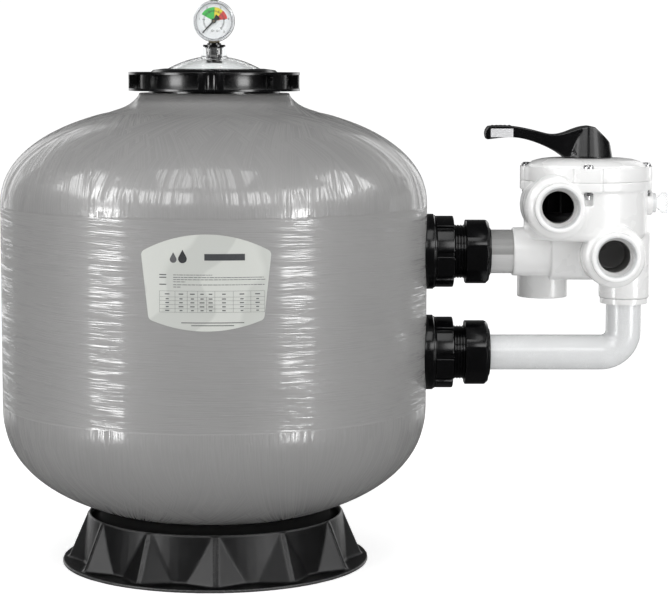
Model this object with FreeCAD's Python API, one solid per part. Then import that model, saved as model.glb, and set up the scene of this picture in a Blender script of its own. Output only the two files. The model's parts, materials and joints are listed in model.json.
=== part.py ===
import FreeCAD, Part
import math
import os

# Side-mount sand filter tank with a six-way valve, in millimetres.
# Own frame: +Z up, origin on the tank axis at floor level, fittings towards +X, label towards -Y.

V = FreeCAD.Vector
X_AXIS = V(1, 0, 0)
Y_AXIS = V(0, 1, 0)
Z_AXIS = V(0, 0, 1)

# Tank
TANK_R = 300.0
TANK_WALL = 8.0
BARREL_Z0 = 230.0
BARREL_Z1 = 508.0
BOTTOM_DOME_H = 168.0
BOTTOM_DOME_POWERS = (2.2, 2.4)
TOP_DOME_H = 145.0
TOP_DOME_POWERS = (2.2, 2.2)
NECK_OUTER_R = 104.5
NECK_TOP_Z = 665.0
NECK_BORE_R = 84.0
HUG = 0.05

# Neck insert, lid and lock ring
NECK_THREAD_R = 92.0
NECK_INNER_R = 74.0
NECK_RIM_Z = 679.0
RING_Z0 = 668.0
RING_Z1 = 694.0
RING_R = 120.0
RING_WALL_R = 108.0
RUN_FIT = 0.07
LID_FLANGE_Z0 = 679.3
LID_FLANGE_Z1 = 686.5
LID_CROWN_Z = 717.0
LID_CROWN_INNER_Z = 712.5
LID_SIDE_R = 66.0
BOSS_R = 17.2
BOSS_TOP_Z = 728.0
BOSS_BORE_R = 11.3

# Pressure gauge
GAUGE_Z = 765.0
GAUGE_R = 29.3
GAUGE_FRONT_Y = -18.0
GAUGE_BACK_Y = 12.0
DIAL_Y = -9.0
NEEDLE_DEG = 226.0

# Base skirt
BASE_TOP_R = 181.0
BASE_TOP_Z = 71.5
BASE_FOOT_R = 190.0
BASE_RIB_R = 212.0
BASE_FLANGE_R = 218.5
SEAT_OUTER_R = 164.0
SEAT_INNER_R = 150.0
SEAT_DROP = 8.0
BASE_FLANGE_T = 4.5
BASE_WALL = 4.0
BASE_RIBS = 12
BASE_TURN_DEG = 2.2

# Wall fittings, both with a horizontal axis along X
UPPER_Z = 442.0
LOWER_Z = 298.0
FITTING_BORE_R = 24.0
FITTING_R = 37.5
THREAD_R = 37.8
THREAD_ROOT_R = 36.4
THREAD_PITCH = 4.0
SADDLE_R = 53.3
SADDLE_X = 312.0
RING_NUT_X1 = 338.0
RING_NUT_R = 50.5
FITTING_END_X = 372.0
UNION_X0 = 354.5
UNION_X1 = 387.5
UNION_R = 46.0
TAIL_R = 33.4
TAIL_END_X = 390.0

# Pipes
STUB_R = 31.0
PIPE_R = 25.0
PIPE_WALL = 2.6
RISER_X = 581.5
BEND_R = 32.0

# Valve, its axis parallel to Z
VALVE_X = 525.0
VALVE_R = 87.0
CHAMBER_R = 73.0
ROTOR_R = 72.0
VANE_START = 27.5
VANE_END = 66.0
VANE_TOP_Z = 536.0
VANE_COUNT = 16
VANE_TURN_DEG = 6.0
SCREW_R = 3.0
NUT_R = 5.8
NUT_TOP_Z = 531.0
FLOOR_Z = 478.0
BODY_TOP_Z = 544.0
LID_EDGE_Z = 566.0
LID_TOP_Z = 575.0
LUG_R = 93.0
SCREW_CIRCLE_R = 84.0
SCREW_COUNT = 4
SCREW_TURN_DEG = -95.0
PORT_THREAD_R = 28.35
PORT_BORE_R = 22.2
PORT_FACE_Y = -105.0
PUMP_X = 477.0
PUMP_Z = 510.0
RETURN_X = 556.0
WASTE_X = 471.0
WASTE_Y = 56.0
WASTE_END_Z = 372.0
STEM_R = 12.0
PIN_X = 504.0
PIN_Z = 581.0
PIN_R = 3.2
SIGHT_Z = 511.5
SPRING_Z0 = 502.6
SPRING_Z1 = 562.8
SPRING_COIL_R = 19.5
SPRING_WIRE_R = 2.0
SPRING_TURNS = 5

# Underdrain inside the tank
ARM_Z = 108.0
ARM_R = 12.0
ARM_WALL = 3.5
ARM_START = 41.5
ARM_END = 164.0
ARM_COUNT = 8

# Drain, at the back on the lower dome and square to its wall
DRAIN_R = 250.0


def revolve(points, base=V(0, 0, 0), direction=Z_AXIS):
    """Solid of revolution from (radius, height) points along the given axis."""
    wire = Part.makePolygon([V(r, 0, z) for r, z in points] + [V(points[0][0], 0, points[0][1])])
    solid = Part.Face(wire).revolve(V(0, 0, 0), Z_AXIS, 360)
    return place(solid, base, direction)


def place(shape, base, direction):
    """Move a shape built along +Z so that +Z points along direction."""
    turn = FreeCAD.Rotation(Z_AXIS, direction)
    shape.Placement = FreeCAD.Placement(base, turn).multiply(shape.Placement)
    return shape


def tube(outer_r, inner_r, start, end, base=V(0, 0, 0), direction=Z_AXIS):
    """Ring or pipe between two heights along an axis."""
    points = [(inner_r, start), (outer_r, start), (outer_r, end), (inner_r, end)]
    return revolve(points, base, direction)


def rod(radius, start, end, base=V(0, 0, 0), direction=Z_AXIS):
    """Plain cylinder between two heights along an axis."""
    return place(Part.makeCylinder(radius, end - start, V(0, 0, start)), base, direction)


def torus(ring_r, wire_r, height, base=V(0, 0, 0), direction=Z_AXIS):
    """Round seal lying at a height along an axis."""
    return place(Part.makeTorus(ring_r, wire_r, V(0, 0, height)), base, direction)


def box(x0, x1, y0, y1, z0, z1):
    """Block between two corners."""
    return Part.makeBox(x1 - x0, y1 - y0, z1 - z0, V(x0, y0, z0))


def around(shape, count, centre=V(0, 0, 0), direction=Z_AXIS, start_deg=0.0):
    """Copies of a shape evenly spaced round an axis."""
    copies = []
    for index in range(count):
        copy = shape.copy()
        copy.rotate(centre, direction, start_deg + index * 360.0 / count)
        copies.append(copy)
    return copies


def cut_all(shape, tools):
    """Shape less every tool."""
    for tool in tools:
        shape = shape.cut(tool)
    return shape


def dome_rise(radius, outer_r, height, powers):
    """Height of a dome above its rim at a radius; the powers make it fuller than an ellipse."""
    share = min(1.0, radius / outer_r)
    return height * (1.0 - share ** powers[0]) ** (1.0 / powers[1])


def bottom_dome_z(radius, inset=0.0):
    """Height of the lower dome at a radius."""
    return BARREL_Z0 - dome_rise(radius, TANK_R - inset, BOTTOM_DOME_H - inset, BOTTOM_DOME_POWERS)


def top_dome_z(radius, inset=0.0):
    """Height of the upper dome at a radius."""
    return BARREL_Z1 + dome_rise(radius, TANK_R - inset, TOP_DOME_H - inset, TOP_DOME_POWERS)


def dome_radii(outer_r, inner_r, steps=14):
    """Radii crowded towards the rim, where a dome is steep."""
    span = math.asin(inner_r / outer_r)
    angles = [math.pi / 2 - (math.pi / 2 - span) * i / steps for i in range(steps + 1)]
    return [outer_r * math.sin(angle) for angle in angles]


def smooth(points, start_dir=None, end_dir=None):
    """Smooth curve through (radius, height) points."""
    curve = Part.BSplineCurve()
    vectors = [V(r, 0, z) for r, z in points]
    if start_dir is None:
        curve.interpolate(vectors)
    else:
        curve.interpolate(Points=vectors, InitialTangent=start_dir, FinalTangent=end_dir)
    return curve.toShape()


def tank_outline(inset):
    """Closed half section of the tank, inset from the outer skin."""
    outer_r = TANK_R - inset
    floor_z = bottom_dome_z(0.0, inset)
    low = [(r, bottom_dome_z(r, inset)) for r in reversed(dome_radii(outer_r, 0.0))]
    neck_r = NECK_OUTER_R - inset
    high = [(r, top_dome_z(r, inset)) for r in dome_radii(outer_r, neck_r + 8.0)]
    foot_z = high[-1][1] + 5.0
    high.append((neck_r, foot_z))
    top_z = NECK_TOP_Z - inset
    edges = [smooth(low, V(1, 0, 0), V(0, 0, 1))]
    edges.append(Part.makeLine(V(outer_r, 0, BARREL_Z0), V(outer_r, 0, BARREL_Z1)))
    edges.append(smooth(high, V(0, 0, 1), V(-0.35, 0, 1)))
    edges.append(Part.makeLine(V(neck_r, 0, foot_z), V(neck_r, 0, top_z)))
    edges.append(Part.makeLine(V(neck_r, 0, top_z), V(0, 0, top_z)))
    edges.append(Part.makeLine(V(0, 0, top_z), V(0, 0, floor_z)))
    return Part.Face(Part.Wire(edges)).revolve(V(0, 0, 0), Z_AXIS, 360)


def drain_frame():
    """Point on the lower dome's skin at the back, and the outward direction there."""
    height = bottom_dome_z(DRAIN_R)
    step = 0.01
    slope = (bottom_dome_z(DRAIN_R + step) - bottom_dome_z(DRAIN_R - step)) / (2.0 * step)
    outward = V(0, slope, -1.0)
    outward.normalize()
    return V(0, DRAIN_R, height), outward


def make_shell():
    """Wound tank: two domes, a barrel, a raised neck and holes for the fittings."""
    shell = tank_outline(0.0).cut(tank_outline(TANK_WALL))
    point, outward = drain_frame()
    holes = [rod(NECK_BORE_R, NECK_TOP_Z - 60.0, NECK_TOP_Z + 10.0)]
    holes.append(rod(FITTING_R + HUG, 250.0, 320.0, V(0, 0, UPPER_Z), X_AXIS))
    holes.append(rod(FITTING_R + HUG, 250.0, 320.0, V(0, 0, LOWER_Z), X_AXIS))
    holes.append(rod(13.0, -30.0, 20.0, point, outward))
    return cut_all(shell, holes)


def make_label():
    """Arched sticker that follows the barrel."""
    half_top, half_low = 84.0, 74.5
    corner_top, crown, corner_low, dip = 466.0, 489.0, 379.0, 364.0
    y = -TANK_R - 20.0
    top_left, top_right = V(-half_top, y, corner_top), V(half_top, y, corner_top)
    low_left, low_right = V(-half_low, y, corner_low), V(half_low, y, corner_low)
    edges = [Part.Arc(top_left, V(0, y, crown), top_right).toShape()]
    edges.append(Part.makeLine(top_right, low_right))
    edges.append(Part.Arc(low_right, V(0, y, dip), low_left).toShape())
    edges.append(Part.makeLine(low_left, top_left))
    blank = Part.Face(Part.Wire(edges)).extrude(V(0, 60, 0))
    upright = [edge for edge in blank.Edges if abs(edge.Length - 60.0) < 0.01]
    blank = blank.makeFillet(7.0, upright)
    skin = tube(TANK_R + HUG + 0.35, TANK_R + HUG, corner_low - 60.0, crown + 40.0)
    return skin.common(blank)


def make_neck_insert():
    """Moulded collar in the tank mouth, with a thread outside and a seal groove on top."""
    points = [(NECK_INNER_R, 645.0), (NECK_BORE_R - HUG, 645.0), (NECK_BORE_R - HUG, NECK_TOP_Z)]
    points += [(NECK_THREAD_R, NECK_TOP_Z), (NECK_THREAD_R, NECK_RIM_Z - 1.0)]
    points += [(NECK_THREAD_R - 1.0, NECK_RIM_Z), (86.0, NECK_RIM_Z), (86.0, NECK_RIM_Z - 3.6)]
    points += [(80.0, NECK_RIM_Z - 3.6), (80.0, NECK_RIM_Z), (NECK_INNER_R, NECK_RIM_Z)]
    return revolve(points)


def make_lid():
    """Clear domed lid with a flange, a thick crown and a tapped boss for the gauge."""
    outer = Part.Arc(V(LID_SIDE_R, 0, 698.2), V(40.0, 0, 709.8), V(0, 0, LID_CROWN_Z)).toShape()
    inner = Part.Arc(V(0, 0, LID_CROWN_INNER_Z), V(36.0, 0, 706.4), V(60.0, 0, 695.6)).toShape()
    corners = [(0.0, LID_CROWN_INNER_Z), (0.0, LID_CROWN_Z)]
    rim = [(60.0, 695.6), (60.0, LID_FLANGE_Z0), (90.5, LID_FLANGE_Z0), (90.5, LID_FLANGE_Z1)]
    rim += [(LID_SIDE_R, LID_FLANGE_Z1), (LID_SIDE_R, 698.2)]
    edges = [inner]
    edges += [Part.makeLine(V(a[0], 0, a[1]), V(b[0], 0, b[1])) for a, b in zip(rim, rim[1:])]
    edges += [outer, Part.makeLine(V(0, 0, corners[1][1]), V(0, 0, corners[0][1]))]
    dome = Part.Face(Part.Wire(edges)).revolve(V(0, 0, 0), Z_AXIS, 360)
    boss = revolve([(0, 710.0), (BOSS_R + 1.5, 710.0), (BOSS_R + 1.5, 715.5), (BOSS_R, 718.5),
                    (BOSS_R, BOSS_TOP_Z), (0, BOSS_TOP_Z)])
    return dome.fuse(boss).cut(rod(BOSS_BORE_R, 700.0, 740.0)).removeSplitter()


def make_lock_ring():
    """Screwed ring with two rims, four broad grips and four thin webs."""
    bore_r = NECK_THREAD_R + RUN_FIT
    points = [(bore_r, RING_Z0), (RING_R, RING_Z0), (RING_R, RING_Z0 + 3.5)]
    points += [(RING_WALL_R, RING_Z0 + 3.5), (RING_WALL_R, RING_Z1 - 3.5), (RING_R, RING_Z1 - 3.5)]
    points += [(RING_R, RING_Z1), (89.0, RING_Z1), (85.5, RING_Z1 + 3.0), (70.0, RING_Z1 + 5.0)]
    points += [(LID_SIDE_R + 1.0, RING_Z1 + 4.0), (LID_SIDE_R + 1.0, LID_FLANGE_Z1 + 0.4)]
    points.append((bore_r, LID_FLANGE_Z1 + 0.4))
    ring = revolve(points)
    low, high = RING_Z0 + 3.5, RING_Z1 - 3.5
    grip = box(RING_WALL_R - 1.0, RING_R - 0.4, -18.0, 18.0, low, high)
    grip = grip.makeFillet(2.5, [edge for edge in grip.Edges if edge.BoundBox.XMin > RING_R - 1.0
                                 and edge.BoundBox.ZLength > 1.0])
    grip = grip.cut(rod(9.0, low, high, V(RING_R + 5.0, 0, 0)))
    grip = grip.common(rod(RING_R, low, high))
    web = box(RING_WALL_R - 1.0, RING_R - 0.8, -1.6, 1.6, low, high)
    parts = around(grip, 4) + around(web, 4, start_deg=45.0)
    for part in parts:
        ring = ring.fuse(part)
    return ring.removeSplitter()


def make_gauge_parts(parts):
    """Gauge on the lid: adapter, socket, case, window, dial, needle, works and vent plug."""
    top = BOSS_TOP_Z + 1.4
    adapter = [(5.0, 706.0), (BOSS_BORE_R - HUG, 706.0), (BOSS_BORE_R - HUG, top), (15.8, top)]
    adapter += [(15.8, top + 2.8), (9.9, top + 2.8), (9.9, top + 5.0), (5.0, top + 5.0)]
    parts["gauge_adapter"] = revolve(adapter)
    parts["adapter_seal"] = tube(13.2, BOSS_BORE_R, BOSS_TOP_Z, top)
    case_r = GAUGE_R - 1.8
    hollow_r = case_r - 2.0
    centre = V(0, 0, GAUGE_Z)
    front, back, bezel_back = -GAUGE_FRONT_Y, -GAUGE_BACK_Y, -DIAL_Y - 4.0
    case_room = rod(case_r, -20.0, 20.0, centre, Y_AXIS)
    bezel_room = rod(GAUGE_R + HUG, bezel_back - HUG, front + 5.0, centre, -Y_AXIS)
    stem_room = rod(5.0, 700.0, GAUGE_Z - 11.9)
    square = box(-7.5, 7.5, -7.5, 7.5, top + 5.0, GAUGE_Z - case_r + 1.0)
    square = square.cut(case_room).cut(bezel_room)
    socket = rod(4.9, 715.0, GAUGE_Z - 12.0).fuse(square)
    parts["gauge_socket"] = socket.cut(rod(2.0, 700.0, GAUGE_Z - 15.0)).removeSplitter()
    case = revolve([(0, back), (case_r, back), (case_r, front - 4.0), (hollow_r, front - 4.0),
                    (hollow_r, back + 2.0), (0, back + 2.0)], centre, -Y_AXIS)
    plug_hole = rod(3.6, GAUGE_Z + 10.0, GAUGE_Z + GAUGE_R + 2.0)
    parts["gauge_case"] = case.cut(stem_room).cut(plug_hole)
    lens = [(0, front), (GAUGE_R - 3.5, front), (GAUGE_R, front - 3.0), (GAUGE_R, bezel_back)]
    lens += [(case_r + HUG, bezel_back), (case_r + HUG, front - 3.9), (hollow_r, front - 3.9)]
    lens += [(hollow_r - 1.5, front - 2.2), (0, front - 2.2)]
    parts["gauge_window"] = revolve(lens, centre, -Y_AXIS)
    parts["gauge_dial"] = tube(hollow_r - 0.2, 2.2, -DIAL_Y - 0.8, -DIAL_Y, centre, -Y_AXIS)
    parts["gauge_needle"] = make_needle()
    parts["gauge_works"] = make_works(centre, stem_room)
    plug_z = GAUGE_Z + GAUGE_R - 1.4
    plug = revolve([(0, GAUGE_Z + 22.0), (3.5, GAUGE_Z + 22.0), (3.5, plug_z), (6.8, plug_z),
                    (6.0, plug_z + 3.0), (0, plug_z + 3.0)])
    parts["gauge_vent_plug"] = plug.cut(case_room.cut(plug_hole)).cut(bezel_room)


def make_works(centre, stem_room):
    """Movement block with the needle's pivot, and the curled pressure tube round it."""
    block = box(-6.0, 6.0, DIAL_Y + 3.0, DIAL_Y + 9.0, GAUGE_Z - 11.5, GAUGE_Z + 8.0)
    pivot = rod(1.5, -DIAL_Y - 3.5, -DIAL_Y + 2.6, centre, -Y_AXIS)
    coil_r, wire_r, sweep_deg = 16.0, 2.2, 240.0
    coil = Part.makeTorus(coil_r, wire_r, V(0, DIAL_Y + 6.5, GAUGE_Z), Y_AXIS, 0, 360, sweep_deg)
    coil.rotate(centre, Y_AXIS, 195.0)
    return Part.makeCompound([block.fuse(pivot), coil.cut(block).cut(stem_room)])


def make_needle():
    """Pointer with a broad tail, drawn pointing up and then turned to the resting mark."""
    outline = [(-0.55, 22.5), (0.55, 22.5), (1.3, 0.0), (4.2, -9.0), (-4.2, -9.0), (-1.3, 0.0)]
    points = [V(x, 0, z) for x, z in outline]
    blade = Part.Face(Part.makePolygon(points + [points[0]])).extrude(V(0, -0.8, 0))
    hub = rod(3.2, -0.4, 1.6, V(0, 0, 0), -Y_AXIS)
    needle = blade.fuse(hub).cut(rod(1.5 + HUG, -5.0, 5.0, V(0, 0, 0), Y_AXIS))
    needle.rotate(V(0, 0, 0), Y_AXIS, 90.0 - NEEDLE_DEG)
    needle.translate(V(0, DIAL_Y - 1.0, GAUGE_Z))
    return needle.removeSplitter()


def skirt_form(inset):
    """Filled skirt with its triangular buttresses, inset from the outer skin."""
    low = -1.0 if inset else 0.0
    foot_r, top_r, rib_r = BASE_FOOT_R - inset, BASE_TOP_R - inset, BASE_RIB_R - inset
    form = Part.makeCone(foot_r, top_r, BASE_TOP_Z + inset - low, V(0, 0, low))
    half_flat, half_foot, back_r = 3.2, 41.0 - 0.6 * inset, 150.0
    top_line = BASE_TOP_Z - 2.5 - 2.0 * inset
    foot = [V(back_r, -half_foot, low), V(foot_r - 3.0, -half_foot, low), V(rib_r, -half_flat, low)]
    foot += [V(rib_r, half_flat, low), V(foot_r - 3.0, half_foot, low), V(back_r, half_foot, low)]
    head = [V(back_r, -half_flat, top_line), V(back_r, half_flat, top_line)]
    head += [V(top_r + 1.5, half_flat, top_line), V(top_r + 1.5, -half_flat, top_line)]
    faces = [foot, head]
    faces.append([foot[2], foot[3], head[2], head[3]])
    faces.append([foot[1], foot[2], head[3]])
    faces.append([foot[4], foot[3], head[2]])
    faces.append([foot[0], foot[1], head[3], head[0]])
    faces.append([foot[5], foot[4], head[2], head[1]])
    faces.append([foot[0], foot[5], head[1], head[0]])
    triangles = []
    for face in faces:
        for i in range(1, len(face) - 1):
            corners = [face[0], face[i], face[i + 1], face[0]]
            triangles.append(Part.Face(Part.makePolygon(corners)))
    rib = Part.Solid(Part.Shell(triangles))
    if rib.Volume < 0:
        rib.reverse()
    for copy in around(rib, BASE_RIBS, start_deg=-90.0 + BASE_TURN_DEG):
        form = form.fuse(copy)
    return form


def make_base():
    """Moulded stand: a hollow buttressed skirt on a thin flange, cupped to the tank."""
    skirt = skirt_form(0.0).cut(skirt_form(BASE_WALL))
    flange = tube(BASE_FLANGE_R, BASE_FOOT_R - BASE_WALL - 4.0, 0.0, BASE_FLANGE_T)
    seat_z = BASE_TOP_Z - SEAT_DROP
    shelf = tube(BASE_TOP_R - 1.0, SEAT_INNER_R, seat_z - 4.0, seat_z)
    lip = tube(SEAT_OUTER_R, SEAT_INNER_R, seat_z - 4.0, BASE_TOP_Z + 20.0)
    groove = box(BASE_TOP_R - 20.0, BASE_RIB_R + 10.0, -1.7, 1.7, BASE_FLANGE_T + 0.5, BASE_TOP_Z - 5.0)
    floor = Part.makeCone(BASE_FOOT_R - 3.0, BASE_TOP_R - 3.0, BASE_TOP_Z + 4.0)
    body = skirt.fuse(flange).fuse(shelf).fuse(lip).cut(tank_outline(0.0))
    slots = [slot.cut(floor) for slot in around(groove, BASE_RIBS, start_deg=-90.0 + BASE_TURN_DEG)]
    shallow = skirt_form(1.2)
    slots = [slot.cut(shallow) for slot in slots]
    return cut_all(body, slots).removeSplitter()


def thread_points(start, end, crest_r, root_r):
    """Outline of a run of rounded-off thread crests along an axis."""
    points = []
    position = start
    while position + THREAD_PITCH <= end:
        points += [(root_r, position), (crest_r, position + 1.1)]
        points += [(crest_r, position + 2.5), (root_r, position + 3.6)]
        position += THREAD_PITCH
    points.append((root_r, end - 0.01))
    return points


def make_fitting(parts, tag, height, tail_bore_r):
    """One wall fitting with its seals, nuts and union tail, on a horizontal axis."""
    base = V(0, 0, height)
    inner_wall = TANK_R - TANK_WALL
    outline = [(FITTING_BORE_R, 272.0), (50.0, 272.0), (50.0, 292.0), (FITTING_R, 292.0)]
    outline += [(FITTING_R, RING_NUT_X1 + 0.5)]
    outline += thread_points(RING_NUT_X1 + 0.6, FITTING_END_X - 4.0, THREAD_R, THREAD_ROOT_R)
    outline += [(THREAD_R, FITTING_END_X - 3.9), (THREAD_R, FITTING_END_X - 0.6)]
    outline += [(THREAD_R - 0.6, FITTING_END_X), (31.6, FITTING_END_X), (31.6, FITTING_END_X - 3.0)]
    outline += [(26.4, FITTING_END_X - 3.0), (26.4, FITTING_END_X), (FITTING_BORE_R, FITTING_END_X)]
    body = revolve(outline, base, X_AXIS)
    tank_room = rod(inner_wall - 3.0 - HUG, 100.0, 600.0)
    outside = box(294.0, 400.0, -60.0, 60.0, height - 60.0, height + 60.0)
    sleeve = rod(FITTING_R, 250.0, 330.0, base, X_AXIS)
    keep = tank_room.fuse(outside).fuse(sleeve)
    parts["bulkhead_" + tag] = body.common(keep)
    seal = tube(50.0, FITTING_R + HUG, 270.0, 296.0, base, X_AXIS)
    seal = seal.common(tube(inner_wall - HUG, inner_wall - 3.0, 100.0, 600.0))
    parts["inner_gasket_" + tag] = seal
    saddle = [(FITTING_R + HUG, 280.0), (SADDLE_R, 280.0), (SADDLE_R, SADDLE_X - 3.0)]
    saddle += [(SADDLE_R - 2.0, SADDLE_X - 1.8), (SADDLE_R - 2.0, SADDLE_X), (FITTING_R + HUG, SADDLE_X)]
    saddle = revolve(saddle, base, X_AXIS)
    parts["saddle_" + tag] = saddle.cut(rod(TANK_R + HUG, 100.0, 600.0))
    parts["ring_nut_" + tag] = make_ring_nut(base)
    parts["union_seal_" + tag] = torus(29.0, 1.5, FITTING_END_X - 1.45, base, X_AXIS)
    parts["union_nut_" + tag] = make_union_nut(base)
    tail = [(tail_bore_r, FITTING_END_X + 6.0), (tail_bore_r, TAIL_END_X), (TAIL_R, TAIL_END_X)]
    tail += [(TAIL_R, FITTING_END_X + 6.9), (37.4, FITTING_END_X + 6.9), (37.4, FITTING_END_X + 0.2)]
    tail += [(FITTING_BORE_R, FITTING_END_X + 0.2), (FITTING_BORE_R, FITTING_END_X + 6.0)]
    parts["union_tail_" + tag] = revolve(tail, base, X_AXIS)


def make_ring_nut(base):
    """Wall nut with eight broad grips."""
    x0, x1 = SADDLE_X + 0.2, RING_NUT_X1
    core = [(FITTING_R + HUG, x0), (46.5, x0), (46.5, x1 - 3.0), (44.0, x1), (FITTING_R + HUG, x1)]
    nut = revolve(core, base, X_AXIS)
    grip = box(x0, x1 - 0.6, -15.5, 15.5, base.z + 42.0, base.z + RING_NUT_R + 2.0)
    grip = grip.common(rod(RING_NUT_R, x0, x1, base, X_AXIS))
    long_edges = [edge for edge in grip.Edges if edge.BoundBox.ZMin > base.z + 47.0]
    grip = grip.makeFillet(1.6, long_edges)
    for copy in around(grip, 8, base, X_AXIS, 22.5):
        nut = nut.fuse(copy)
    return nut.removeSplitter()


def make_union_nut(base):
    """Loose nut that pulls the tail onto the wall fitting."""
    lip_x = FITTING_END_X + 7.2
    bore_r, lip_r = THREAD_R + RUN_FIT, TAIL_R + RUN_FIT
    outline = [(bore_r, UNION_X0), (UNION_R - 1.0, UNION_X0), (UNION_R, UNION_X0 + 1.0)]
    outline += [(UNION_R, UNION_X1 - 5.0), (UNION_R - 4.5, UNION_X1), (lip_r, UNION_X1)]
    outline += [(lip_r, lip_x), (bore_r, lip_x)]
    nut = revolve(outline, base, X_AXIS)
    flat_r = UNION_R * 0.962
    corner_r = flat_r / math.cos(math.pi / 8)
    corners = []
    for index in range(9):
        angle = math.pi / 8 + index * math.pi / 4
        corners.append(V(UNION_X0 - 1.0, corner_r * math.cos(angle), base.z + corner_r * math.sin(angle)))
    prism = Part.Face(Part.makePolygon(corners)).extrude(V(UNION_X1 - UNION_X0 + 2.0, 0, 0))
    return nut.common(prism)


def bent_pipe(outer_r, start, corner, end, bend_r):
    """Filled round bar along two square legs joined by a bend."""
    first, second = (corner - start), (end - corner)
    first.normalize()
    second.normalize()
    bend_in, bend_out = corner - first * bend_r, corner + second * bend_r
    middle = corner + (second - first) * bend_r - (second - first) * (bend_r / math.sqrt(2))
    edges = [Part.makeLine(start, bend_in), Part.Arc(bend_in, middle, bend_out).toShape()]
    edges.append(Part.makeLine(bend_out, end))
    section = Part.Wire(Part.makeCircle(outer_r, start, first))
    return Part.Wire(edges).makePipeShell([section], True, False)


def make_pipe(outer_r, wall, start, corner, end, bend_r):
    """Hollow pipe with one square bend."""
    return bent_pipe(outer_r, start, corner, end, bend_r).cut(
        bent_pipe(outer_r - wall, start, corner, end, bend_r))


def make_inner_plumbing(parts):
    """Pipework inside the tank: the diffuser above, the hub and screened arms below."""
    inlet = make_pipe(23.9, 2.4, V(285, 0, UPPER_Z), V(0, 0, UPPER_Z), V(0, 0, 545), 50.0)
    parts["upper_inner_pipe"] = inlet
    cup = revolve([(24.0, 530.0), (28.0, 530.0), (28.0, 546.0), (60.0, 566.0), (60.0, 582.0),
                   (57.0, 582.0), (57.0, 568.0), (24.0, 548.0)])
    window = box(10.0, 50.0, -3.0, 3.0, 570.0, 590.0)
    plate = cut_all(rod(57.0, 577.0, 580.0), around(window, 10))
    parts["diffuser"] = cup.fuse(plate).removeSplitter()
    hub_top = ARM_Z + 40.0
    outlet = make_pipe(23.9, 2.4, V(285, 0, LOWER_Z), V(0, 0, LOWER_Z), V(0, 0, hub_top - 14.0), 50.0)
    parts["lower_inner_pipe"] = outlet
    low, high = ARM_Z - 20.0, ARM_Z + 20.0
    hub = revolve([(0, low), (46.0, low), (46.0, high), (30.0, high + 12.0), (30.0, hub_top),
                   (24.0, hub_top), (24.0, hub_top - 16.0), (40.0, high - 8.0), (40.0, low + 6.0),
                   (0, low + 6.0)])
    socket = rod(ARM_R + 0.1, 30.0, 60.0, V(0, 0, ARM_Z), X_AXIS)
    parts["lateral_hub"] = cut_all(hub, around(socket, ARM_COUNT))
    bore_r = ARM_R - ARM_WALL
    arm = revolve([(bore_r, ARM_START), (ARM_R, ARM_START), (ARM_R, ARM_END - 4.0), (10.0, ARM_END),
                   (0, ARM_END), (0, ARM_END - 3.0), (bore_r, ARM_END - 3.0)], V(0, 0, ARM_Z), X_AXIS)
    slots = [box(x, x + 1.5, -20.0, 20.0, ARM_Z + 4.0, ARM_Z + 18.0) for x in range(60, 156, 14)]
    arm = cut_all(arm, slots)
    parts["laterals"] = Part.makeCompound(around(arm, ARM_COUNT))


def make_drain(parts):
    """Drain spigot through the lower dome, with its seal, nut and screw cap."""
    point, outward = drain_frame()
    spigot = revolve([(7.0, -22.0), (22.0, -22.0), (22.0, -16.0), (12.9, -16.0), (12.9, 17.0),
                      (11.5, 17.5), (11.5, 34.0), (7.0, 34.0)], point, outward)
    parts["drain_spigot"] = spigot
    keep_out = tank_outline(-HUG)
    washer = tube(22.0, 13.0, -8.0, 4.2, point, outward)
    parts["drain_gasket"] = washer.cut(keep_out)
    nut = tube(21.0, 13.0, 4.3, 14.0, point, outward)
    parts["drain_nut"] = cut_all(nut, [place(box(18.5, 30.0, -20.0, 20.0, 0.0, 20.0), point, outward)])
    cap = revolve([(11.5 + RUN_FIT, 18.5), (17.0, 18.5), (17.0, 38.0), (14.5, 40.0), (0, 40.0),
                   (0, 36.0), (11.5 + RUN_FIT, 36.0)], point, outward)
    rib = tube(19.0, 10.0, 19.5, 37.0)
    rib = rib.common(box(15.0, 20.0, -1.6, 1.6, 0.0, 50.0))
    for copy in around(rib, 10):
        cap = cap.fuse(place(copy, point, outward))
    parts["drain_cap"] = cap


def lug_ring(z0, z1):
    """Round flange with four broad screw lugs, on the valve axis."""
    ring = rod(VALVE_R + 2.5, z0, z1, V(VALVE_X, 0, 0))
    lug = box(VALVE_X + 60.0, VALVE_X + LUG_R + 5.0, -21.0, 21.0, z0, z1)
    lug = lug.common(rod(LUG_R, z0, z1, V(VALVE_X, 0, 0)))
    upright = [edge for edge in lug.Edges if edge.BoundBox.ZLength > 1.0]
    edges = [edge for edge in upright if edge.BoundBox.XMin > VALVE_X + 70.0]
    lug = lug.makeFillet(5.0, edges)
    centre = V(VALVE_X, 0, 0)
    for copy in around(lug, SCREW_COUNT, centre, Z_AXIS, SCREW_TURN_DEG):
        ring = ring.fuse(copy)
    return ring


def screw_places():
    """Axes of the lid screws."""
    places = []
    for index in range(SCREW_COUNT):
        angle = math.radians(SCREW_TURN_DEG + index * 360.0 / SCREW_COUNT)
        places.append(V(VALVE_X + SCREW_CIRCLE_R * math.cos(angle), SCREW_CIRCLE_R * math.sin(angle), 0))
    return places


def port_boss(x, z, boss_r):
    """Outside of one front port: a rounded boss and a thinner rim."""
    base = V(x, 0, z)
    outline = [(0, 0), (boss_r, 0), (boss_r, 78.0), (boss_r - 2.5, 84.5), (boss_r - 8.0, 88.5), (34.4, 89.5)]
    outline += [(34.4, -PORT_FACE_Y - 1.2), (33.4, -PORT_FACE_Y), (0, -PORT_FACE_Y)]
    return revolve(outline, base, -Y_AXIS)


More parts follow.
